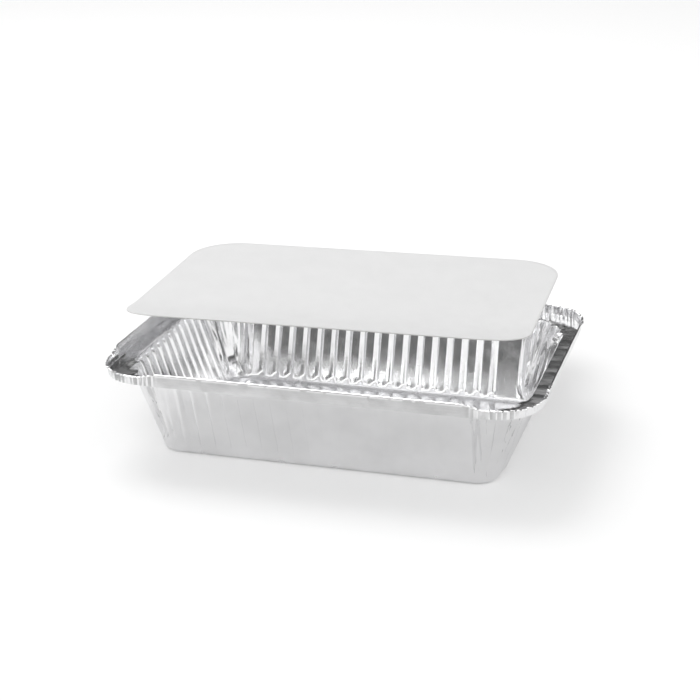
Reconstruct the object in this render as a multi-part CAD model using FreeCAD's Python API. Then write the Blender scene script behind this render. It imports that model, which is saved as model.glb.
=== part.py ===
import FreeCAD, Part
import math
import os

# Oblong pressed-foil food tray with its flat board lid set down askew on the rim.
# Millimetres. +Z is up and +X runs along the tray's length.
# The origin is the middle of the tray's base, on the floor.

# Tray, overall
TRAY_LENGTH = 214.3
TRAY_WIDTH = 151.0
TRAY_HEIGHT = 49.5
FOIL_THICKNESS = 0.09

# Base and walls
BASE_INSET = 24.0
BASE_CORNER_RADIUS = 10.5
BASE_EDGE_RADIUS = 2.5
BASE_EDGE_FACETS = 3
CORNER_FACETS = 14
WALL_PLEAT_DEPTH = 1.1

# Ledge that carries the lid, and the upright flange around it
LEDGE_WIDTH = 8.0
FLANGE_HEIGHT = 7.0
FLANGE_FLARE = 1.0
FLANGE_CORNER_FACETS = 22
FLANGE_PLEAT_DEPTH = 1.3
CORNER_BULGE = 4.2
CORNER_DROOP = 2.2
HEM_HEIGHT = 1.2
HEM_DEPTH = 0.45

# Stiffening flutes pressed outward into the walls; the share is the width of their mouths.
# The long walls' flutes lie a little to the left of the middle.
FLUTE_PITCH_LONG = 7.9
FLUTE_PITCH_SHORT = 7.2
FLUTE_SHARE = 0.5
FLUTE_DEPTH_LONG = 1.1
FLUTE_DEPTH_SHORT = 1.6
FLUTE_FACETS = 3
FLUTE_FOOT = 3.0
FLUTE_HEAD = 2.5
FLUTE_SHIFT_LEFT = 3.4
PLAIN_END_LONG = 5.2
PLAIN_END_SHORT = 1.2

# Board lid: it is a little smaller than the inside of the flange
LID_LENGTH = 209.0
LID_WIDTH = 146.0
LID_THICKNESS = 0.55
LID_CORNER_RADIUS = 26.0
LID_BEND_LENGTH = 40.0
LID_BEND_LIFT = 5.5
LID_SHIFT_LEFT = 20.0
LID_SHIFT_BACK = 62.0
LID_TURN_DEG = 2.0

# Sizes that follow from the ones above
LEDGE_Z = TRAY_HEIGHT - FLANGE_HEIGHT
WALL_TOP_INSET = HEM_DEPTH + FLANGE_FLARE + LEDGE_WIDTH
PLAN_RADIUS = BASE_CORNER_RADIUS + BASE_INSET
HALF_STRAIGHT_X = TRAY_LENGTH / 2 - PLAN_RADIUS
HALF_STRAIGHT_Y = TRAY_WIDTH / 2 - PLAN_RADIUS
WALL_LEAN = math.atan2(BASE_INSET - WALL_TOP_INSET, LEDGE_Z)
EDGE_SWEEP = math.pi / 2 - WALL_LEAN
EDGE_TANGENT = BASE_EDGE_RADIUS * math.tan(EDGE_SWEEP / 2)


# The plan is a ring of four straight sides and four corners.
# Side k runs into corner k, anticlockwise from the front.

def flute_stations(half_straight, pitch, plain_end, shift):
    """Places along one side, with how far a flute stands out there (0 to 1)."""
    count = int((2 * half_straight - 2 * plain_end) / pitch)
    stations = []
    for i in range(count):
        middle = (i - (count - 1) / 2) * pitch + shift
        for k in range(FLUTE_FACETS + 1):
            angle = math.pi * k / FLUTE_FACETS
            along = middle - math.cos(angle) * FLUTE_SHARE * pitch / 2
            stations.append((along, math.sin(angle)))
    return stations


def side_points(k, inset, z, stations, flute):
    """Points along side k; the flutes stand out from it by up to `flute`."""
    points = []
    for along, rise in stations:
        depth = inset - flute * rise
        if k % 2 == 0:
            x, y = along, -TRAY_WIDTH / 2 + depth
        else:
            x, y = TRAY_LENGTH / 2 - depth, along
        if k >= 2:
            x, y = -x, -y
        points.append(FreeCAD.Vector(x, y, z))
    return points


def corner_points(k, inset, z, facets, pleat, bulge, droop):
    """Points around corner k; every other one is folded inward by `pleat`."""
    centre_x = HALF_STRAIGHT_X * (1 if k in (0, 1) else -1)
    centre_y = HALF_STRAIGHT_Y * (1 if k in (1, 2) else -1)
    points = []
    for i in range(facets + 1):
        share = i / facets
        swell = math.sin(math.pi * share) ** 2
        fold = pleat if i % 2 else 0.0
        radius = PLAN_RADIUS - inset + bulge * swell - fold
        drop = droop * min(1.0, 6 * min(share, 1 - share))
        angle = math.radians(90 * (k - 1 + share))
        x = centre_x + radius * math.cos(angle)
        y = centre_y + radius * math.sin(angle)
        points.append(FreeCAD.Vector(x, y, z - drop))
    return points


def ring(inset, z, facets, fluted=False, flute=0.0, pleat=0.0, bulge=0.0, droop=0.0):
    """One closed level line of the tray; `flute` is the share of the flutes' depth."""
    sides = []
    corners = []
    for k in range(4):
        depth = flute * (FLUTE_DEPTH_SHORT if k % 2 else FLUTE_DEPTH_LONG)
        stations = []
        if fluted and k % 2:
            stations = flute_stations(HALF_STRAIGHT_Y, FLUTE_PITCH_SHORT, PLAIN_END_SHORT, 0.0)
        elif fluted:
            shift = FLUTE_SHIFT_LEFT if k == 2 else -FLUTE_SHIFT_LEFT
            stations = flute_stations(HALF_STRAIGHT_X, FLUTE_PITCH_LONG, PLAIN_END_LONG, shift)
        sides.append(side_points(k, inset, z, stations, depth))
        corners.append(corner_points(k, inset, z, facets, pleat, bulge, droop))
    return {"sides": sides, "corners": corners}


def ring_points(level):
    points = []
    for side, corner in zip(level["sides"], level["corners"]):
        points += side + corner
    return points


def moved_in(level, distance, rise=0.0):
    """The same ring moved in square to its own edges, and raised."""
    points = ring_points(level)
    moved = []
    for i, here in enumerate(points):
        before = here - points[i - 1]
        after = points[(i + 1) % len(points)] - here
        n1 = FreeCAD.Vector(-before.y, before.x, 0).normalize()
        n2 = FreeCAD.Vector(-after.y, after.x, 0).normalize()
        shift = (n1 + n2) * (distance / (1 + n1.dot(n2)))
        moved.append(here + shift + FreeCAD.Vector(0, 0, rise))
    sides = []
    corners = []
    start = 0
    for side, corner in zip(level["sides"], level["corners"]):
        sides.append(moved[start:start + len(side)])
        start += len(side)
        corners.append(moved[start:start + len(corner)])
        start += len(corner)
    return {"sides": sides, "corners": corners}


def flat_face(points):
    return Part.Face(Part.makePolygon(points + points[:1]))


def patch(a, b, c, d):
    """A four-sided facet, as two triangles where it would be twisted."""
    normal = (b - a).cross(c - a)
    if abs(normal.dot(d - a)) < 1e-6 * normal.Length:
        return [flat_face([a, b, c, d])]
    return [flat_face([a, b, c]), flat_face([a, c, d])]


def patches(lower, upper):
    faces = []
    for i in range(len(lower) - 1):
        faces += patch(lower[i], lower[i + 1], upper[i + 1], upper[i])
    return faces


def band(lower, upper):
    """All facets between two rings; a plain straight side is one face."""
    faces = []
    for k in range(4):
        faces += patches(lower["corners"][k], upper["corners"][k])
        low = [lower["corners"][k - 1][-1]] + lower["sides"][k] + [lower["corners"][k][0]]
        high = [upper["corners"][k - 1][-1]] + upper["sides"][k] + [upper["corners"][k][0]]
        if len(low) == len(high):
            faces += patches(low, high)
        else:
            faces.append(flat_face(low + high[::-1]))
    return faces


def flat_ring(outer, inner):
    wires = [Part.makePolygon(p + p[:1]) for p in (ring_points(outer), ring_points(inner))]
    return Part.makeFace(wires, "Part::FaceMakerBullseye")


def wall_inset(z):
    return BASE_INSET - (BASE_INSET - WALL_TOP_INSET) * z / LEDGE_Z


def base_levels():
    """Rings of the rounded bottom edge, from the flat base to the wall."""
    levels = []
    for i in range(BASE_EDGE_FACETS):
        angle = EDGE_SWEEP * i / BASE_EDGE_FACETS
        inset = BASE_INSET + EDGE_TANGENT - BASE_EDGE_RADIUS * math.sin(angle)
        z = BASE_EDGE_RADIUS * (1 - math.cos(angle))
        levels.append(ring(inset, z, CORNER_FACETS))
    return levels


def wall_levels():
    """Rings of the fluted wall; the flutes and corner pleats fade at both ends."""
    start = EDGE_TANGENT * math.cos(WALL_LEAN)
    foot = start + FLUTE_FOOT
    head = LEDGE_Z - FLUTE_HEAD
    rows = [(start, 0.0, 0.0),
            (foot, 1.0, 0.25),
            (head, 1.0, 1.0),
            (LEDGE_Z, 0.0, 0.6)]
    levels = []
    for z, flute, pleat in rows:
        levels.append(ring(wall_inset(z), z, CORNER_FACETS, True, flute, pleat * WALL_PLEAT_DEPTH))
    return levels


def flange_ring(share, pleat):
    """A ring of the flange, from its foot (0) to its top edge (1)."""
    return ring(HEM_DEPTH + FLANGE_FLARE * (1 - share), LEDGE_Z + FLANGE_HEIGHT * share,
                FLANGE_CORNER_FACETS, pleat=pleat * FLANGE_PLEAT_DEPTH,
                bulge=CORNER_BULGE, droop=CORNER_DROOP * share)


def tray():
    """The pressed tray: an under side and an upper side one foil thickness apart."""
    levels = base_levels() + wall_levels()
    wall_step = FOIL_THICKNESS * math.tan(EDGE_SWEEP / 2)
    inside = [moved_in(level, wall_step, FOIL_THICKNESS) for level in levels]
    foot = flange_ring(0.0, 0.3)
    foot_inside = moved_in(foot, FOIL_THICKNESS, FOIL_THICKNESS)
    under_hem = flange_ring(1 - HEM_HEIGHT / FLANGE_HEIGHT, 1.0)
    hem_lip = moved_in(under_hem, -HEM_DEPTH)
    top = flange_ring(1.0, 1.0)
    top_outside = moved_in(top, -HEM_DEPTH)
    top_inside = moved_in(top, FOIL_THICKNESS)

    faces = [flat_face(ring_points(levels[0])), flat_face(ring_points(inside[0]))]
    for i in range(len(levels) - 1):
        faces += band(levels[i], levels[i + 1])
        faces += band(inside[i], inside[i + 1])
    faces.append(flat_ring(foot, levels[-1]))
    faces.append(flat_ring(foot_inside, inside[-1]))
    for lower, upper in ((foot, under_hem), (under_hem, hem_lip), (hem_lip, top_outside),
                         (top_outside, top_inside), (foot_inside, top_inside)):
        faces += band(lower, upper)

    shell = Part.makeShell(faces)
    shell.sewShape()
    solid = Part.makeSolid(shell)
    if solid.Volume < 0:
        solid.reverse()
    return solid


def rounded_plate(length, width, radius, height):
    box = Part.makeBox(length, width, height, FreeCAD.Vector(-length / 2, -width / 2, 0))
    uprights = [e for e in box.Edges if abs(e.tangentAt(e.FirstParameter).z) > 0.99]
    return box.makeFillet(radius, uprights)


def board_section():
    """Side view of the board: flat, with its front curled up."""
    radius = (LID_BEND_LENGTH ** 2 + LID_BEND_LIFT ** 2) / (2 * LID_BEND_LIFT)
    sweep = math.asin(LID_BEND_LENGTH / radius)
    back = LID_WIDTH / 2
    bend = LID_BEND_LENGTH - LID_WIDTH / 2

    def on_curl(angle, height):
        r = radius - height
        return FreeCAD.Vector(0, bend - r * math.sin(angle), radius - r * math.cos(angle))

    def level(y, height):
        return FreeCAD.Vector(0, y, height)

    t = LID_THICKNESS
    edges = [Part.makeLine(level(back, 0), level(bend, 0)),
             Part.Arc(on_curl(0, 0), on_curl(sweep / 2, 0), on_curl(sweep, 0)).toShape(),
             Part.makeLine(on_curl(sweep, 0), on_curl(sweep, t)),
             Part.Arc(on_curl(sweep, t), on_curl(sweep / 2, t), on_curl(0, t)).toShape(),
             Part.makeLine(level(bend, t), level(back, t)),
             Part.makeLine(level(back, t), level(back, 0))]
    return Part.Face(Part.Wire(edges))


def lid():
    """The board lid, lying on the flange's top edge at the back and at the left."""
    board = board_section().extrude(FreeCAD.Vector(LID_LENGTH, 0, 0))
    board.translate(FreeCAD.Vector(-LID_LENGTH / 2, 0, 0))
    outline = rounded_plate(LID_LENGTH, LID_WIDTH, LID_CORNER_RADIUS, 3 * LID_BEND_LIFT)
    outline.translate(FreeCAD.Vector(0, 0, -LID_BEND_LIFT))
    board = board.common(outline)
    board.rotate(FreeCAD.Vector(0, 0, 0), FreeCAD.Vector(0, 0, 1), LID_TURN_DEG)
    board.translate(FreeCAD.Vector(-LID_SHIFT_LEFT, LID_SHIFT_BACK, TRAY_HEIGHT))
    return board


os.makedirs("parts", exist_ok=True)
tray().exportStep("parts/tray.step")
lid().exportStep("parts/lid.step")
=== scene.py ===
# %% [markdown]
# # A pressed foil tray with its board lid
# The object is an oblong tray pressed from one thin sheet of aluminium, with a flat board lid lying on its
# rim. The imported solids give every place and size. This lesson dresses them: the foil gets crisp flutes,
# corner creases and a rolled hem, and the lid gets its white face, raw edge and foil underside.

# %% Load the frame
import math
import random

import bmesh
import bpy
import numpy as np
from mathutils import Matrix, Vector, noise


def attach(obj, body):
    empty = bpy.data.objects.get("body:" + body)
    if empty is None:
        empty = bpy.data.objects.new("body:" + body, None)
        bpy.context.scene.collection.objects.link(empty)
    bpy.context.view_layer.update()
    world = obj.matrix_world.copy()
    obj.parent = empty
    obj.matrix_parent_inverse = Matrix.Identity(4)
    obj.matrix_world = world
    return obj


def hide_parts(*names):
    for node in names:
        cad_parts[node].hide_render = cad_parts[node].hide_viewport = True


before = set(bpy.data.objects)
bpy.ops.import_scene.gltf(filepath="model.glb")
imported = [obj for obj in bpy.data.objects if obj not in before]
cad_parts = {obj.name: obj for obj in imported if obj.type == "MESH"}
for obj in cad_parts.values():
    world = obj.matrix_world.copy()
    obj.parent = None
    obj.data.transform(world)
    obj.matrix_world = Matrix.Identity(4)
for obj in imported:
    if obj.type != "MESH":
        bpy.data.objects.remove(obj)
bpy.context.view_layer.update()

# %% [markdown]
# ## The sizes of the tray
# These are the tray's own dimensions in millimetres, the same ones that the solids were made from. Working
# in millimetres keeps the numbers readable, and one factor turns them into Blender's metres at the end. An
# inset is always measured inward from the tray's outer edge.

# %% Tray sizes
MM = 0.001
TRAY_LENGTH = 214.3
TRAY_WIDTH = 151.0
TRAY_HEIGHT = 49.5
FOIL = 0.09
BASE_INSET = 24.0
BASE_CORNER_RADIUS = 10.5
BASE_EDGE_RADIUS = 2.5
LEDGE_WIDTH = 8.0
FLANGE_HEIGHT = 7.0
FLANGE_FLARE = 1.0
HEM_RADIUS = 0.45
HEM_CORE = HEM_RADIUS - FOIL
CORNER_BULGE = 4.2
CORNER_DROOP = 2.2
PLAN_RADIUS = BASE_CORNER_RADIUS + BASE_INSET
HALF_STRAIGHT = (TRAY_LENGTH / 2 - PLAN_RADIUS, TRAY_WIDTH / 2 - PLAN_RADIUS)
LEDGE_Z = TRAY_HEIGHT - FLANGE_HEIGHT
WALL_TOP_INSET = HEM_RADIUS + FLANGE_FLARE + LEDGE_WIDTH
WALL_LEAN = math.atan2(BASE_INSET - WALL_TOP_INSET, LEDGE_Z)
EDGE_SWEEP = math.pi / 2 - WALL_LEAN
EDGE_TANGENT = BASE_EDGE_RADIUS * math.tan(EDGE_SWEEP / 2)
WALL_START = EDGE_TANGENT * math.cos(WALL_LEAN)
print("ledge at", LEDGE_Z, "mm, walls lean", round(math.degrees(WALL_LEAN), 1), "degrees")

# %% [markdown]
# ## Flutes along the walls
# The walls are stiffened by flutes: shallow troughs pressed outward, side by side. The long walls' flutes
# are shallower than the short walls', and their row lies a little to the left of the middle, as on the real
# tray. A plain stretch is left at both ends of each row. The places along a wall are listed first, packed
# closely where a flute's flank is steep, because an even spacing would need far more faces.

# %% Flute sizes and the places along a wall
FLUTE_PITCH = (7.9, 7.2)  # on the long walls, on the short walls
FLUTE_DEPTH = (0.95, 1.4)
PLAIN_END = (5.2, 1.2)
FLUTE_SHIFT_LEFT = 3.4
FLUTE_STEPS = (-0.5, -0.33, -0.25, -0.19, -0.13, -0.06, 0.0, 0.06, 0.13, 0.19, 0.25, 0.33)
PLAIN_STEPS = 4
UNFLUTED = 0.5  # as far from a flute's middle as a place can be, as a share of the pitch


def side_stations(k):
    """Places along side k, as (along, share of the pitch away from a flute's middle)."""
    half, pitch = HALF_STRAIGHT[k % 2], FLUTE_PITCH[k % 2]
    count = int((2 * half - 2 * PLAIN_END[k % 2]) / pitch)
    shift = (-FLUTE_SHIFT_LEFT, 0.0, FLUTE_SHIFT_LEFT, 0.0)[k]
    first, last = shift - count / 2 * pitch, shift + count / 2 * pitch
    before = [(-half + (half + first) * i / PLAIN_STEPS, UNFLUTED) for i in range(1, PLAIN_STEPS)]
    fluted = [(first + (i + 0.5 + u) * pitch, abs(u)) for i in range(count) for u in FLUTE_STEPS]
    after = [(last + (half - last) * i / PLAIN_STEPS, UNFLUTED) for i in range(PLAIN_STEPS)]
    return before + fluted + after


print(len(side_stations(0)), "places on a long wall,", len(side_stations(1)), "on a short one")

# %% [markdown]
# ## Stations all around
# Every level of the tray is the same rounded oblong, only larger or smaller. So each place around it needs
# just an anchor point and a direction outward: moving along that direction gives the base, the wall, the
# ledge and the flange in turn. In a corner all stations share one anchor, and only the direction turns. At
# the corners the real flange swells outward and its top droops a little, which two curves along the corner
# describe.

# %% Stations around the tray
CORNER_STEPS = 72
DROOP_RAMP = 6

anchors, outward, away_from, flute_depth, share, corner_of = [], [], [], [], [], []
for k in range(4):  # the front, right, back and left side, each with the corner after it
    turn = math.radians(90 * (k - 1))
    half, depth = HALF_STRAIGHT[k % 2], HALF_STRAIGHT[1 - k % 2]
    run = np.array((-math.sin(turn), math.cos(turn)))
    out = np.array((math.cos(turn), math.sin(turn)))
    for along, away in side_stations(k):
        anchors.append(run * along + out * depth)
        outward.append(out)
        away_from.append(away)
        flute_depth.append(FLUTE_DEPTH[k % 2])
        share.append(0.0)
        corner_of.append(-1)
    for i in range(CORNER_STEPS + 1):
        angle = turn + math.pi / 2 * i / CORNER_STEPS
        anchors.append(run * half + out * depth)
        outward.append(np.array((math.cos(angle), math.sin(angle))))
        away_from.append(UNFLUTED)
        flute_depth.append(0.0)
        share.append(i / CORNER_STEPS)
        corner_of.append(k)
anchors, outward, share = np.array(anchors), np.array(outward), np.array(share)
away_from, flute_depth, corner_of = np.array(away_from), np.array(flute_depth), np.array(corner_of)
swell = np.sin(np.pi * share) ** 2
droop = np.minimum(1.0, DROOP_RAMP * np.minimum(share, 1 - share)) * CORNER_DROOP
print(len(share), "stations around the tray")

# %% [markdown]
# ## Creases in the corner walls
# A flat sheet has too much metal for a rounded corner, so the press folds the rest into creases. They run
# down from the ledge at a slant and die out above the base. Most are narrow, and a few are broad folds with
# one steep side and one long flat side, which mirrors a whole patch of the room at once. They are drawn at
# random from a fixed seed, so that no two corners match but every run gives the same tray.

# %% Corner creases
NARROW_CREASES = 9
BROAD_FOLDS = 3
CREASE_FADE = 9.0  # the height over which a crease dies out
CREASE_EASE = 0.08  # the share of a corner over which creases start and stop
dice = random.Random(23)


def smooth(t):
    """A soft step from 0 to 1."""
    t = np.clip(t, 0.0, 1.0)
    return t * t * (3 - 2 * t)


def draw_creases():
    """Wall creases of one corner: (share at the ledge, slant, lowest z, depth, widths of its two sides)."""
    found = []
    for i in range(NARROW_CREASES):
        width = dice.uniform(0.9, 2.6)
        at = (i + dice.uniform(0.1, 0.9)) / NARROW_CREASES
        slant, low, depth = dice.uniform(-0.2, 0.2), dice.uniform(3, 24), dice.uniform(0.3, 1.0)
        found.append((at, slant, low, depth, width, width * dice.uniform(0.3, 1.0)))
    for i in range(BROAD_FOLDS):
        width = dice.uniform(5.0, 7.5)
        at = (i + dice.uniform(0.15, 0.4)) / BROAD_FOLDS
        slant, low, depth = dice.uniform(-0.2, 0.1), dice.uniform(1, 5), dice.uniform(2.2, 3.2)
        found.append((at, slant, low, depth, width * dice.choice((0.08, 0.15)), width))
    return found


creases = [draw_creases() for k in range(4)]


def crease_depth(z, radius):
    """How far the corner walls are folded in at height z, for every station."""
    total = np.zeros(len(share))
    for k in range(4):
        here = corner_of == k
        for at, slant, low, depth, before, after in creases[k]:
            across = (share[here] - at - slant * (LEDGE_Z - z) / LEDGE_Z) * radius * math.pi / 2
            side = np.where(across < 0, before, after)
            fade = float(smooth((z - low) / CREASE_FADE))
            total[here] += fade * depth * np.clip(1 - np.abs(across) / side, 0, 1)
    return total * smooth(share / CREASE_EASE) * smooth((1 - share) / CREASE_EASE)


print(sum(len(found) for found in creases), "creases in four corners")

# %% [markdown]
# ## Crimps in the flange
# The upright flange has to shrink around the corners too. There the metal gathers into short upright
# pleats, close together. Each is a saw tooth with one steep side, like a pleat that is pushed over, and
# each gets its own width and depth from the same random draws.

# %% Flange crimps
CRIMP_SHARE = (0.030, 0.056)  # the least and greatest width, as a share of a corner
CRIMP_DEPTH = (0.5, 1.3)
CRIMP_PEAK = 0.3
CRIMP_EASE = 0.05


def draw_crimps():
    """Flange crimps of one corner: (start share, end share, depth)."""
    found, start = [], 0.0
    while start < 1.0:
        end = start + dice.uniform(*CRIMP_SHARE)
        found.append((start, min(end, 1.0), dice.uniform(*CRIMP_DEPTH)))
        start = end
    return found


crimps = [draw_crimps() for k in range(4)]
crimped = np.zeros(len(share))  # how far the flange is folded in at its top edge, for every station
for k in range(4):
    for i in np.flatnonzero(corner_of == k):
        for start, end, depth in crimps[k]:
            if start <= share[i] < end:
                t = (share[i] - start) / (end - start)
                crimped[i] = depth * (t / CRIMP_PEAK if t < CRIMP_PEAK else (1 - t) / (1 - CRIMP_PEAK))
crimped *= smooth(share / CRIMP_EASE) * smooth((1 - share) / CRIMP_EASE)
print("deepest crimp", round(float(crimped.max()), 2), "mm")

# %% [markdown]
# ## The section, from the middle of the base to the hem
# The tray's cross-section is a list of rows: base, rounded edge, leaning wall, ledge, upright flange and the
# rolled hem. Each row is one closed loop of stations. Stacking the loops gives the whole pressed sheet as a
# clean grid, which is easier to control than sculpting or a boolean, and keeps the flutes crisp. One helper
# adds a row, and is told how much of each feature shows at that level.

# %% One row of the sheet, and the rows of the base
FLUTE_MOUTH = 0.25  # half a flute's width, as a share of the pitch
FLANK_POWER = 1.3  # 1 would give a flute straight flanks, and more rounds its middle
BASE_RINGS = (0.0, 0.16, 0.32, 0.48, 0.62, 0.75, 0.86, 0.94)
EDGE_ROWS = 3
rows, row_part = [], []


def add_row(part, inset, z, flutes=0.0, mouth=FLUTE_MOUTH, gathers=0.0, crimp=0.0, bulge=0.0, sag=0.0,
            scale=1.0):
    radial = PLAN_RADIUS - inset + bulge * CORNER_BULGE * swell
    if flutes:
        radial = radial + flutes * flute_depth * np.clip(1 - (away_from / mouth) ** FLANK_POWER, 0, 1)
    if gathers:
        radial = radial - gathers * crease_depth(z, PLAN_RADIUS - inset)
    radial = radial - crimp * crimped
    xy = (anchors + outward * radial[:, None]) * scale
    height = np.full(len(xy), z) - sag * droop
    rows.append(np.column_stack((xy, height)))
    row_part.append(part)


for scale in BASE_RINGS:
    add_row("base", BASE_INSET + EDGE_TANGENT, 0.0, scale=scale)
for i in range(EDGE_ROWS):
    angle = EDGE_SWEEP * i / EDGE_ROWS
    add_row("edge", BASE_INSET + EDGE_TANGENT - BASE_EDGE_RADIUS * math.sin(angle),
            BASE_EDGE_RADIUS * (1 - math.cos(angle)))
print(len(rows), "rows in the base and its edge")

# %% [markdown]
# ## The leaning walls
# A flute swells out of the base's edge with a wide foot and ends just under the ledge in a round tip. So its
# depth eases in at the foot and out at the head, and its mouth is wider at the foot and closes in a half
# circle at the head. The rows lie close together at both ends, where the shape changes most.

# %% Rows of the walls
WALL_RISES = (0, 0.7, 1.4, 2.2, 3.2, 5, 8, 12, 16.5, 21, 25.5, 29.5, 32.5, 34.8, 36.6, 37.9, 38.8, 39.5)
FOOT_START, FOOT_RISE = -0.4, 2.2
FOOT_SPREAD, SPREAD_RISE = 0.16, 2.6
HEAD_RISE = 2.4
TIP_GAP, TIP_RISE, TIP_LEAST = 0.3, 3.2, 0.04
TOP_DROP, TOP_STEP, LEDGE_START = 0.28, 0.1, 0.4


def wall_inset(z):
    return BASE_INSET - (BASE_INSET - WALL_TOP_INSET) * z / LEDGE_Z


for rise in WALL_RISES:
    z = WALL_START + rise
    foot = smooth((rise - FOOT_START) / FOOT_RISE)
    head = smooth((LEDGE_Z - z) / HEAD_RISE)
    wide = FLUTE_MOUTH + FOOT_SPREAD * float(1 - smooth(rise / SPREAD_RISE))
    narrow = math.sqrt(max(TIP_LEAST, min(1.0, (LEDGE_Z - TIP_GAP - z) / TIP_RISE)))
    add_row("wall", wall_inset(z), z, flutes=foot * head, mouth=wide * narrow, gathers=1.0)
add_row("wall", WALL_TOP_INSET + TOP_STEP, LEDGE_Z - TOP_DROP, gathers=0.9)
add_row("ledge", WALL_TOP_INSET - LEDGE_START, LEDGE_Z, gathers=0.7)
print(len(rows), "rows up to the ledge")

# %% [markdown]
# ## Ledge, flange and hem
# A lid can be laid on the level ledge, inside the upright flange, and the flange folded over it. The creases
# of the wall run out across the ledge, while the crimps and the swelling of the corners grow towards the
# flange. The sheet's raw edge is rolled outward into a hem, drawn as most of a circle.

# %% Rows of the ledge, the flange and the hem
# Each ring of the ledge is its share of the ledge's width and its share of the creases.
LEDGE_RINGS = ((0.25, 0.4), (0.5, 0.2), (0.75, 0.1), (0.93, 0.0))
FLANGE_RISES = (0.03, 0.12, 0.3, 0.5, 0.72, 0.9)
FOOT_CRIMP = 0.5  # share of the crimps that is left at the flange's foot
HEM_ROWS = 7
HEM_STEP = 45

for across, gathers in LEDGE_RINGS:
    add_row("ledge", WALL_TOP_INSET - LEDGE_WIDTH * across, LEDGE_Z, gathers=gathers, bulge=across,
            crimp=FOOT_CRIMP * across)
for up in FLANGE_RISES:
    add_row("flange", 2 * HEM_RADIUS + (FLANGE_FLARE - HEM_RADIUS) * (1 - up),
            LEDGE_Z + FLANGE_HEIGHT * up, crimp=FOOT_CRIMP + (1 - FOOT_CRIMP) * up, bulge=1.0, sag=up)
for i in range(HEM_ROWS):
    angle = math.radians(180 - HEM_STEP * i)
    add_row("flange", HEM_RADIUS - HEM_CORE * math.cos(angle),
            TRAY_HEIGHT - HEM_RADIUS + HEM_CORE * math.sin(angle),
            crimp=1.0, bulge=1.0, sag=1.0)
rows = np.array(rows)
print("grid of", rows.shape[0], "rows by", rows.shape[1], "stations")

# %% [markdown]
# ## Small unevenness
# Thin foil is never quite flat after handling. Low waves in the rim, fainter ones in the walls, crumples in
# the corners and shallow dents in the base bend the reflections, which is what makes metal look like foil.
# The waves only move the sheet inward or upward, so the tray keeps its outer size and still stands flat.

# %% Waves and dents
BASE_LIFT = 0.16
FLAT_FOOT = 1.0  # the edge below this height stays true, so that the tray stands flat
# Each layer of waves is its height, its length and its place in the noise.
BASE_DENTS = ((0.12, 14.0, 3.1), (0.07, 4.5, 8.4))
WALL_WAVES = ((0.04, 19.0, 5.7), (0.015, 4.5, 1.2))
RIM_WAVES = ((0.30, 19.0, 5.7), (0.05, 4.5, 1.2))
CORNER_CRUMPLES = ((1.0, 11.0, 9.3), (0.4, 5.0, 4.1))
LEDGE_WAVES = ((0.16, 9.0, 2.2),)


def wavy(point, length, seed):
    return noise.noise(Vector((point[0] / length + seed, point[1] / length, point[2] / length)))


def push_of(point, layers):
    """The layers' waves at a point, all to one side, added up."""
    return sum(height * abs(wavy(point, length, seed)) for height, length, seed in layers)


for j, part in enumerate(row_part):
    for i in range(rows.shape[1]):
        p = rows[j, i]
        if part == "base":
            p[2] += BASE_LIFT + sum(height * wavy(p, length, seed) for height, length, seed in BASE_DENTS)
            continue
        if p[2] < FLAT_FOOT:
            continue
        push = push_of(p, WALL_WAVES if part == "wall" else RIM_WAVES)
        if part == "wall":
            push += swell[i] * push_of(p, CORNER_CRUMPLES)
        p[:2] -= outward[i] * push
        if part == "ledge":
            p[2] += push_of(p, LEDGE_WAVES)
print("highest point", round(float(rows[:, :, 2].max()), 2), "mm")

# %% [markdown]
# ## From grid to mesh
# The loops become quads with bmesh, and the middle of the base closes to a point. Faces are shaded smooth,
# but edges sharper than a set angle stay crisp, so the flutes and crimps don't blur into each other. The
# same helper makes the lid later on.

# %% Build the foil sheet
MERGE_GAP = 0.004
FOIL_CREASE_ANGLE = 26


def grid_mesh(name, levels, crease_angle):
    bm = bmesh.new()
    loops = [[bm.verts.new(Vector(p) * MM) for p in level] for level in levels]
    count = len(loops[0])
    for lower, upper in zip(loops[:-1], loops[1:]):
        for i in range(count):
            k = (i + 1) % count
            bm.faces.new((lower[i], lower[k], upper[k], upper[i]))
    bmesh.ops.remove_doubles(bm, verts=bm.verts, dist=MERGE_GAP * MM)
    bmesh.ops.recalc_face_normals(bm, faces=bm.faces)
    mesh = bpy.data.meshes.new(name)
    bm.to_mesh(mesh)
    bm.free()
    for face in mesh.polygons:
        face.use_smooth = True
    mesh.set_sharp_from_angle(angle=math.radians(crease_angle))
    piece = bpy.data.objects.new(name, mesh)
    bpy.context.scene.collection.objects.link(piece)
    return piece


foil_tray = grid_mesh("foil_tray", rows, FOIL_CREASE_ANGLE)
print(len(foil_tray.data.polygons), "faces in the sheet")

# %% [markdown]
# ## The thickness of the sheet
# The real sheet is under a tenth of a millimetre thick. A Solidify modifier gives it that thickness on its
# inner side, which is simpler than a second grid. Which side that is depends on how the faces were turned,
# so the middle of the base is asked first.

# %% Give the sheet its thickness
centre_face = min(foil_tray.data.polygons, key=lambda f: f.center.length)
points_up = centre_face.normal.z > 0
skin = foil_tray.modifiers.new("thickness", "SOLIDIFY")
skin.thickness = FOIL * MM
skin.offset = 1.0 if points_up else -1.0
skin.use_even_offset = False
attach(foil_tray, "root")
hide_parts("tray")
print("base faces up" if points_up else "base faces down")

# %% [markdown]
# ## Helpers for materials
# All the finishes here are made of a few noise textures at real scale. One helper adds a node and fills its
# sockets, one gives a noise texture, one turns noise into a bump and one turns it into a range of colours.
# With them a finish reads as a short list.

# %% Material helpers
def add_node(tree, kind, sockets):
    """A new node. A socket given a number or a colour keeps it, and one given an output is linked to it."""
    node = tree.nodes.new(kind)
    for socket, value in sockets.items():
        if isinstance(value, bpy.types.NodeSocket):
            tree.links.new(value, node.inputs[socket])
        else:
            node.inputs[socket].default_value = value
    return node


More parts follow.
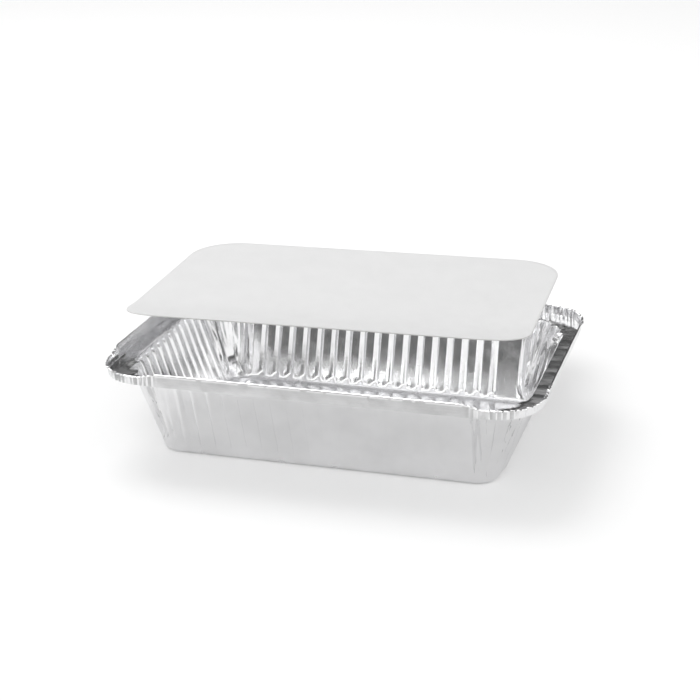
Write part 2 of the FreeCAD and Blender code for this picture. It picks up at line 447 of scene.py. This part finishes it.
def new_material(name):
    material = bpy.data.materials.new(name)
    material.use_nodes = True
    return material, material.node_tree, material.node_tree.nodes["Principled BSDF"]


def grain(tree, scale, stretch=(1, 1, 1), detail=3.0):
    """Noise in real metres, stretched along an axis."""
    place = tree.nodes.new("ShaderNodeTexCoord").outputs["Object"]
    mapping = add_node(tree, "ShaderNodeMapping", {"Vector": place, "Scale": stretch})
    texture = add_node(tree, "ShaderNodeTexNoise", {"Vector": mapping.outputs["Vector"], "Scale": scale,
                                                    "Detail": detail})
    return texture.outputs["Fac"]


def bump_from(tree, height, distance, strength, below=None):
    sockets = {"Height": height, "Distance": distance, "Strength": strength}
    if below:
        sockets["Normal"] = below
    return add_node(tree, "ShaderNodeBump", sockets).outputs["Normal"]


def between(tree, amount, low, high, start=0.35, end=0.65):
    """A colour between low and high, from the middle part of some noise."""
    stops = add_node(tree, "ShaderNodeValToRGB", {"Fac": amount})
    for stop, position, colour in zip(stops.color_ramp.elements, (start, end), (low, high)):
        stop.position = position
        stop.color = (*colour, 1)
    return stops.outputs["Color"]


print("material helpers ready")

# %% [markdown]
# ## The finish of the foil
# Bright rolled aluminium mirrors the room, broken up by rolling lines and tiny crinkles. A metallic shader
# with a soft, uneven roughness does most of it. Two bumps at real scale do the rest: long thin lines from
# the rolling mill, and fine crinkles from the press. The base gets the same finish a little duller, because
# it is the part that rubs on things.

# %% Foil material
FOIL_TINTS = ((0.86, 0.86, 0.865), (0.92, 0.92, 0.925))
FOIL_ROUGHNESS = (0.09, 0.18)
FOIL_CLOUDS, FOIL_SMUDGES = 60, 140  # noise scales, in waves per metre, as in the next lines
ROLL_LINES, ROLL_STRETCH, ROLL_DETAIL, ROLL_RELIEF, ROLL_STRENGTH = 900, (0.06, 1, 1), 2, 0.00003, 0.25
CRINKLES, CRINKLE_DETAIL, CRINKLE_RELIEF, CRINKLE_STRENGTH = 330, 4, 0.00008, 0.30
BASE_DULLER = 0.10
BASE_FINISH_TOP = 0.4


def make_foil(name, dull=0.0):
    material, tree, shader = new_material(name)
    shader.inputs["Metallic"].default_value = 1.0
    tree.links.new(between(tree, grain(tree, FOIL_CLOUDS), *FOIL_TINTS), shader.inputs["Base Color"])
    bright, matt = ((value + dull,) * 3 for value in FOIL_ROUGHNESS)
    tree.links.new(between(tree, grain(tree, FOIL_SMUDGES), bright, matt), shader.inputs["Roughness"])
    rolled = bump_from(tree, grain(tree, ROLL_LINES, ROLL_STRETCH, ROLL_DETAIL), ROLL_RELIEF, ROLL_STRENGTH)
    crinkled = bump_from(tree, grain(tree, CRINKLES, detail=CRINKLE_DETAIL), CRINKLE_RELIEF,
                         CRINKLE_STRENGTH, below=rolled)
    tree.links.new(crinkled, shader.inputs["Normal"])
    return material


foil_tray.data.materials.append(make_foil("pressed_foil"))
foil_tray.data.materials.append(make_foil("pressed_foil_base", BASE_DULLER))
for face in foil_tray.data.polygons:
    face.material_index = 1 if face.center.z < (WALL_START + BASE_FINISH_TOP) * MM else 0
print("foil finishes made")

# %% [markdown]
# ## The board lid
# The real lid is card a little over half a millimetre thick, white on top with foil laminated underneath. It
# lies flat on the flange, with its front curled up. The outline is a rounded oblong drawn as a loop, shrunk
# towards its middle for the face. The curl is a circular arc, which lifts each point by how far in front of
# the curl's start it lies.

# %% Lid sizes and curl
LID_LENGTH = 209.0
LID_WIDTH = 146.0
LID_THICKNESS = 0.55
LAMINATE = 0.04
LID_CORNER_RADIUS = 26.0
LID_BEND_LENGTH = 40.0
LID_BEND_LIFT = 5.47
LID_SHIFT = (-20.0, 62.0)
LID_TURN = math.radians(2.0)
LID_SIDE_STEPS = 28
LID_CORNER_STEPS = 14
CURL_RADIUS = (LID_BEND_LENGTH ** 2 + LID_BEND_LIFT ** 2) / (2 * LID_BEND_LIFT)
CURL_START = LID_BEND_LENGTH - LID_WIDTH / 2


def lid_outline(margin):
    """The flat lid's outline around its own middle, drawn in by a margin."""
    half_x, half_y = LID_LENGTH / 2 - LID_CORNER_RADIUS, LID_WIDTH / 2 - LID_CORNER_RADIUS
    flat = []
    for k in range(4):
        turn = math.pi / 2 * (k - 1)
        half, depth = (half_x, half_y) if k % 2 == 0 else (half_y, half_x)
        run = Vector((-math.sin(turn), math.cos(turn)))
        out = Vector((math.cos(turn), math.sin(turn)))
        for i in range(1, LID_SIDE_STEPS):
            along = half * (2 * i / LID_SIDE_STEPS - 1)
            flat.append(run * along + out * (depth + LID_CORNER_RADIUS - margin))
        for i in range(LID_CORNER_STEPS + 1):
            angle = turn + math.pi / 2 * i / LID_CORNER_STEPS
            around = Vector((math.cos(angle), math.sin(angle)))
            flat.append(run * half + out * depth + around * (LID_CORNER_RADIUS - margin))
    return flat


def lid_loop(scale, height, margin=0.0):
    """One closed loop of the lid as it lies on the tray, at a height inside its thickness."""
    c, s = math.cos(LID_TURN), math.sin(LID_TURN)
    loop = []
    for p in lid_outline(margin):
        x, y = p * scale
        in_front = max(0.0, CURL_START - y)
        z = CURL_RADIUS - math.sqrt((CURL_RADIUS - height) ** 2 - in_front ** 2)
        loop.append((x * c - y * s + LID_SHIFT[0], x * s + y * c + LID_SHIFT[1], TRAY_HEIGHT + z))
    return loop


print("curl radius", round(CURL_RADIUS, 1), "mm")

# %% [markdown]
# ## Board and laminate
# The card and the foil under it are two pieces, because they are two sheets glued together and show two
# finishes at the edge. Each is a stack of loops: over the top, around the edge and back under. The card's
# upper edge is worn to a tiny bevel, which catches the light along the rim as on real card.

# %% Build the lid
SHRINK = (0.0, 0.1, 0.2, 0.3, 0.4, 0.5, 0.6, 0.68, 0.76, 0.83, 0.89, 0.94, 0.98)
BEVEL_IN = 0.06
BEVEL_DOWN = 0.07
CARD_CREASE_ANGLE = 50


def lid_face(height):
    """Loops from the middle of the lid nearly to its edge."""
    return [lid_loop(scale, height) for scale in SHRINK]


card_edge = [lid_loop(1, LID_THICKNESS, BEVEL_IN), lid_loop(1, LID_THICKNESS - BEVEL_DOWN),
             lid_loop(1, LAMINATE)]
foil_edge = [lid_loop(1, LAMINATE), lid_loop(1, 0.0)]
lid_board = grid_mesh("lid_board", lid_face(LID_THICKNESS) + card_edge + lid_face(LAMINATE)[::-1],
                      CARD_CREASE_ANGLE)
lid_foil = grid_mesh("lid_foil", lid_face(LAMINATE) + foil_edge + lid_face(0.0)[::-1], CARD_CREASE_ANGLE)
for piece in (lid_board, lid_foil):
    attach(piece, "root")
    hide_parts("lid")
print(len(lid_board.data.polygons), "faces in the board")

# %% [markdown]
# ## Card and laminate finishes
# The white face is coated paper: smooth, with a soft sheen and hardly any fibre. The cut edge is bare card,
# greyer and rougher, so it gets its own material on the faces that point sideways. The underside is the same
# foil as the tray, but duller, since it is glued down.

# %% Lid materials
COATED_TINTS = ((0.815, 0.815, 0.815), (0.83, 0.83, 0.83))
CUT_TINTS = ((0.62, 0.62, 0.60), (0.74, 0.74, 0.72))
CARD_CLOUDS, CARD_SMUDGES, CARD_FIBRES = 45, 200, 700  # noise scales, in waves per metre
FIBRE_STRETCH, FIBRE_DETAIL, FIBRE_RELIEF = (0.5, 1, 1), 4, 0.00004
ROUGHNESS_SPREAD = 0.05
LAMINATE_DULLER = 0.12
SIDEWAYS = 0.6  # a face whose normal rises less than this is part of the cut edge


def make_card(name, tints, rough, fibre):
    material, tree, shader = new_material(name)
    tree.links.new(between(tree, grain(tree, CARD_CLOUDS), *tints), shader.inputs["Base Color"])
    sheen, matt = (rough - ROUGHNESS_SPREAD,) * 3, (rough + ROUGHNESS_SPREAD,) * 3
    tree.links.new(between(tree, grain(tree, CARD_SMUDGES), sheen, matt), shader.inputs["Roughness"])
    fibres = grain(tree, CARD_FIBRES, FIBRE_STRETCH, FIBRE_DETAIL)
    tree.links.new(bump_from(tree, fibres, FIBRE_RELIEF, fibre), shader.inputs["Normal"])
    return material


lid_board.data.materials.append(make_card("coated_white_face", COATED_TINTS, rough=0.42, fibre=0.2))
lid_board.data.materials.append(make_card("cut_card_edge", CUT_TINTS, rough=0.8, fibre=0.6))
for face in lid_board.data.polygons:
    face.material_index = 1 if abs(face.normal.z) < SIDEWAYS else 0
lid_foil.data.materials.append(make_foil("laminated_foil", LAMINATE_DULLER))
print("lid finishes made")

# %% [markdown]
# ## The floor
# Metal shows whatever stands around it, so the floor and the room matter as much as the lamps. The floor
# is pale, and to the camera it glows just enough to come out white while it keeps the tray's shadow. Seen
# in the foil it is white close by and falls off to a dim grey further in front, which shades the outside of
# the front wall and flange from bright at the foot to grey. Two helpers do the arithmetic for that.

# %% Floor
WHITE = (1, 1, 1, 1)
FLOOR_REACH = 4
FLOOR_CORNERS = [(-FLOOR_REACH, -FLOOR_REACH, 0), (FLOOR_REACH, -FLOOR_REACH, 0),
                 (FLOOR_REACH, FLOOR_REACH, 0), (-FLOOR_REACH, FLOOR_REACH, 0)]
FLOOR_DROP = 0.0001
FLOOR_GREY = 0.80
FLOOR_ROUGHNESS = 0.7
FLOOR_SHEEN = 0.2
SEEN_LIFT = 0.22
MIRRORED_LIFT = 0.10
FLOOR_DIM = 0.35
DIM_FROM, DIM_FULL = -0.11, -0.19  # where the floor's reflection starts to dim, and where it is all dim


def ease(tree, source, low, high, start=0.0, end=1.0):
    """A soft step of a value, from `start` at `low` to `end` at `high`."""
    step = add_node(tree, "ShaderNodeMapRange", {"Value": source, "From Min": low, "From Max": high,
                                                 "To Min": start, "To Max": end})
    step.interpolation_type = "SMOOTHSTEP"
    return step.outputs["Result"]


def combine(tree, operation, first, second):
    node = add_node(tree, "ShaderNodeMath", {0: first, 1: second})
    node.operation = operation
    return node.outputs["Value"]


floor_mesh = bpy.data.meshes.new("floor")
floor_mesh.from_pydata(FLOOR_CORNERS, [], [(0, 1, 2, 3)])
floor = bpy.data.objects.new("floor", floor_mesh)
bpy.context.scene.collection.objects.link(floor)
floor.location.z = -FLOOR_DROP
floor_paint, tree, shader = new_material("floor_paint")
shader.inputs["Base Color"].default_value = (FLOOR_GREY, FLOOR_GREY, FLOOR_GREY, 1)
shader.inputs["Roughness"].default_value = FLOOR_ROUGHNESS
shader.inputs["Specular IOR Level"].default_value = FLOOR_SHEEN
rays = tree.nodes.new("ShaderNodeLightPath")
lift = combine(tree, "ADD", combine(tree, "MULTIPLY", rays.outputs["Is Camera Ray"], SEEN_LIFT),
               combine(tree, "MULTIPLY", rays.outputs["Is Glossy Ray"], MIRRORED_LIFT))
glow = add_node(tree, "ShaderNodeEmission", {"Color": WHITE, "Strength": lift})
near = add_node(tree, "ShaderNodeAddShader", {0: shader.outputs["BSDF"], 1: glow.outputs["Emission"]})
far = add_node(tree, "ShaderNodeEmission", {"Color": WHITE, "Strength": FLOOR_DIM})
spot = add_node(tree, "ShaderNodeSeparateXYZ", {0: tree.nodes.new("ShaderNodeTexCoord").outputs["Object"]})
dimmed = combine(tree, "MULTIPLY", ease(tree, spot.outputs["Y"], DIM_FROM, DIM_FULL),
                 rays.outputs["Is Glossy Ray"])
near_or_far = add_node(tree, "ShaderNodeMixShader", {0: dimmed, 1: near.outputs["Shader"],
                                                     2: far.outputs["Emission"]})
tree.links.new(near_or_far.outputs["Shader"], tree.nodes["Material Output"].inputs["Surface"])
floor_mesh.materials.append(floor_paint)
print("floor laid")

# %% [markdown]
# ## The room
# The camera sees a plain white room, and paper and floor are lit evenly from all sides. The foil sees a
# small studio instead. A dim panel stands low in front, a little to the left: the flat strips between the
# back wall's flutes mirror it and go dark, while the flutes' round sides mirror the bright room beside it
# and go white. Behind, the room is dim nearly to the top, except near the horizon at the left, which the
# ledge mirrors. It is brightest above at a slant, because light from there bounces several times between
# the walls and loses a little each time. Straight up it is plainer, so that the base doesn't burn out.

# %% Room
# The places and ranges are parts of a direction, from -1 to 1: to the right, to the back or upward.
PANEL_CENTRE, PANEL_EDGE, PANEL_TOP = -0.27, (0.12, 0.20), (0.34, 0.42)
PANEL_LIGHT, ROOM_LIGHT = 0.16, 1.05
SLANT_RANGE, SLANT_LIGHT = (0.40, 0.60), 1.9
TOP_RANGE, TOP_LIGHT = (0.94, 0.975), 0.42
BEHIND_RANGE, BEHIND_LIGHT = (-0.15, 0.20), 0.08
HIGH_BEHIND = (0.86, 0.92)
HORIZON_RANGE, HORIZON_LIGHT, HORIZON_LEFT = (0.42, 0.55), 0.35, (0.0, 0.2)
EVEN_LIGHT = 0.80


def backdrop(strength):
    wall = add_node(tree, "ShaderNodeBackground", {"Color": WHITE, "Strength": strength})
    return wall.outputs["Background"]


def pick(amount, first, second):
    """The first backdrop where the amount is 0, and the second where it is 1."""
    return add_node(tree, "ShaderNodeMixShader", {0: amount, 1: first, 2: second}).outputs["Shader"]


world = bpy.data.worlds.new("room")
bpy.context.scene.world = world
world.use_nodes = True
tree = world.node_tree
tree.nodes.clear()
direction = tree.nodes.new("ShaderNodeTexCoord").outputs["Generated"]
heading = add_node(tree, "ShaderNodeSeparateXYZ", {0: direction})
to_right, to_back, upward = (heading.outputs[axis] for axis in "XYZ")

off_centre = combine(tree, "ABSOLUTE", combine(tree, "SUBTRACT", to_right, PANEL_CENTRE), 0.0)
past_panel = combine(tree, "MAXIMUM", ease(tree, off_centre, *PANEL_EDGE), ease(tree, upward, *PANEL_TOP))
lit = ease(tree, past_panel, 0.0, 1.0, PANEL_LIGHT, ROOM_LIGHT)
high_light = combine(tree, "MULTIPLY", ease(tree, upward, *SLANT_RANGE, 1.0, SLANT_LIGHT),
                     ease(tree, upward, *TOP_RANGE, 1.0, TOP_LIGHT))
horizon = combine(tree, "MULTIPLY", ease(tree, upward, *HORIZON_RANGE, HORIZON_LIGHT, 0.0),
                  ease(tree, to_right, *HORIZON_LEFT, 1.0, 0.0))
not_low = combine(tree, "MAXIMUM", ease(tree, upward, *HIGH_BEHIND), horizon)
behind = combine(tree, "MAXIMUM", ease(tree, to_back, *BEHIND_RANGE, 1.0, BEHIND_LIGHT), not_low)
mirrored_room = backdrop(combine(tree, "MULTIPLY", combine(tree, "MULTIPLY", lit, high_light), behind))

rays = tree.nodes.new("ShaderNodeLightPath")
unseen = pick(rays.outputs["Is Glossy Ray"], backdrop(EVEN_LIGHT), mirrored_room)
whole_room = pick(rays.outputs["Is Camera Ray"], unseen, backdrop(1.0))
add_node(tree, "ShaderNodeOutputWorld", {"Surface": whole_room})
print("room lit")

# %% [markdown]
# ## The lamps
# Two large, soft lamps are enough, because most of the light comes from the room. One hangs behind at the
# left and throws the tray's soft shadow to the front and right. The other, much weaker, stands at the right
# and keeps that side from going flat.

# %% Lamps
def soft_lamp(name, place, aim, size, power):
    light = bpy.data.lights.new(name, "AREA")
    light.shape = "DISK"
    light.size = size
    light.energy = power
    lamp = bpy.data.objects.new(name, light)
    bpy.context.scene.collection.objects.link(lamp)
    lamp.location = place
    lamp.rotation_euler = (Vector(aim) - Vector(place)).to_track_quat("-Z", "Y").to_euler()


soft_lamp("overhead", place=(-0.6, 0.5, 1.3), aim=(0, 0, 0), size=0.9, power=7.0)
soft_lamp("side", place=(1.3, -0.4, 0.7), aim=(0, 0, 0.03), size=0.7, power=1.0)
print("lamps hung")

# %% [markdown]
# ## The camera
# The view is the one worked out from the rim and base outlines: a long lens, a little over twenty degrees
# above the table and turned slightly to the right. The small roll is real, so it is kept. Light in a metal
# box bounces many times, so more mirror bounces are allowed than usual.

# %% Camera
AZIMUTH, ELEVATION, ROLL = math.radians(16.83), math.radians(20.48), math.radians(-0.95)
DISTANCE = 0.8158
TARGET = Vector((-0.0008, 0.0, 0.0410))
FOCAL_PIXELS = 1651.3
IMAGE_PIXELS = 700
SENSOR_WIDTH = 36.0
MIRROR_BOUNCES = 12

back = Vector((math.sin(AZIMUTH) * math.cos(ELEVATION), -math.cos(AZIMUTH) * math.cos(ELEVATION),
               math.sin(ELEVATION)))
level_right = (-back).cross(Vector((0, 0, 1))).normalized()
level_up = level_right.cross(-back)
right = level_right * math.cos(ROLL) + level_up * math.sin(ROLL)
up = level_up * math.cos(ROLL) - level_right * math.sin(ROLL)
place = TARGET + back * DISTANCE
lens = bpy.data.cameras.new("camera")
lens.sensor_width = SENSOR_WIDTH
lens.lens = FOCAL_PIXELS / IMAGE_PIXELS * SENSOR_WIDTH
camera = bpy.data.objects.new("camera", lens)
bpy.context.scene.collection.objects.link(camera)
camera.matrix_world = Matrix(((right.x, up.x, back.x, place.x), (right.y, up.y, back.y, place.y),
                              (right.z, up.z, back.z, place.z), (0, 0, 0, 1)))
bpy.context.scene.camera = camera
bpy.context.scene.view_settings.view_transform = "Standard"
bpy.context.scene.cycles.glossy_bounces = MIRROR_BOUNCES
print("lens", round(lens.lens, 1), "mm")
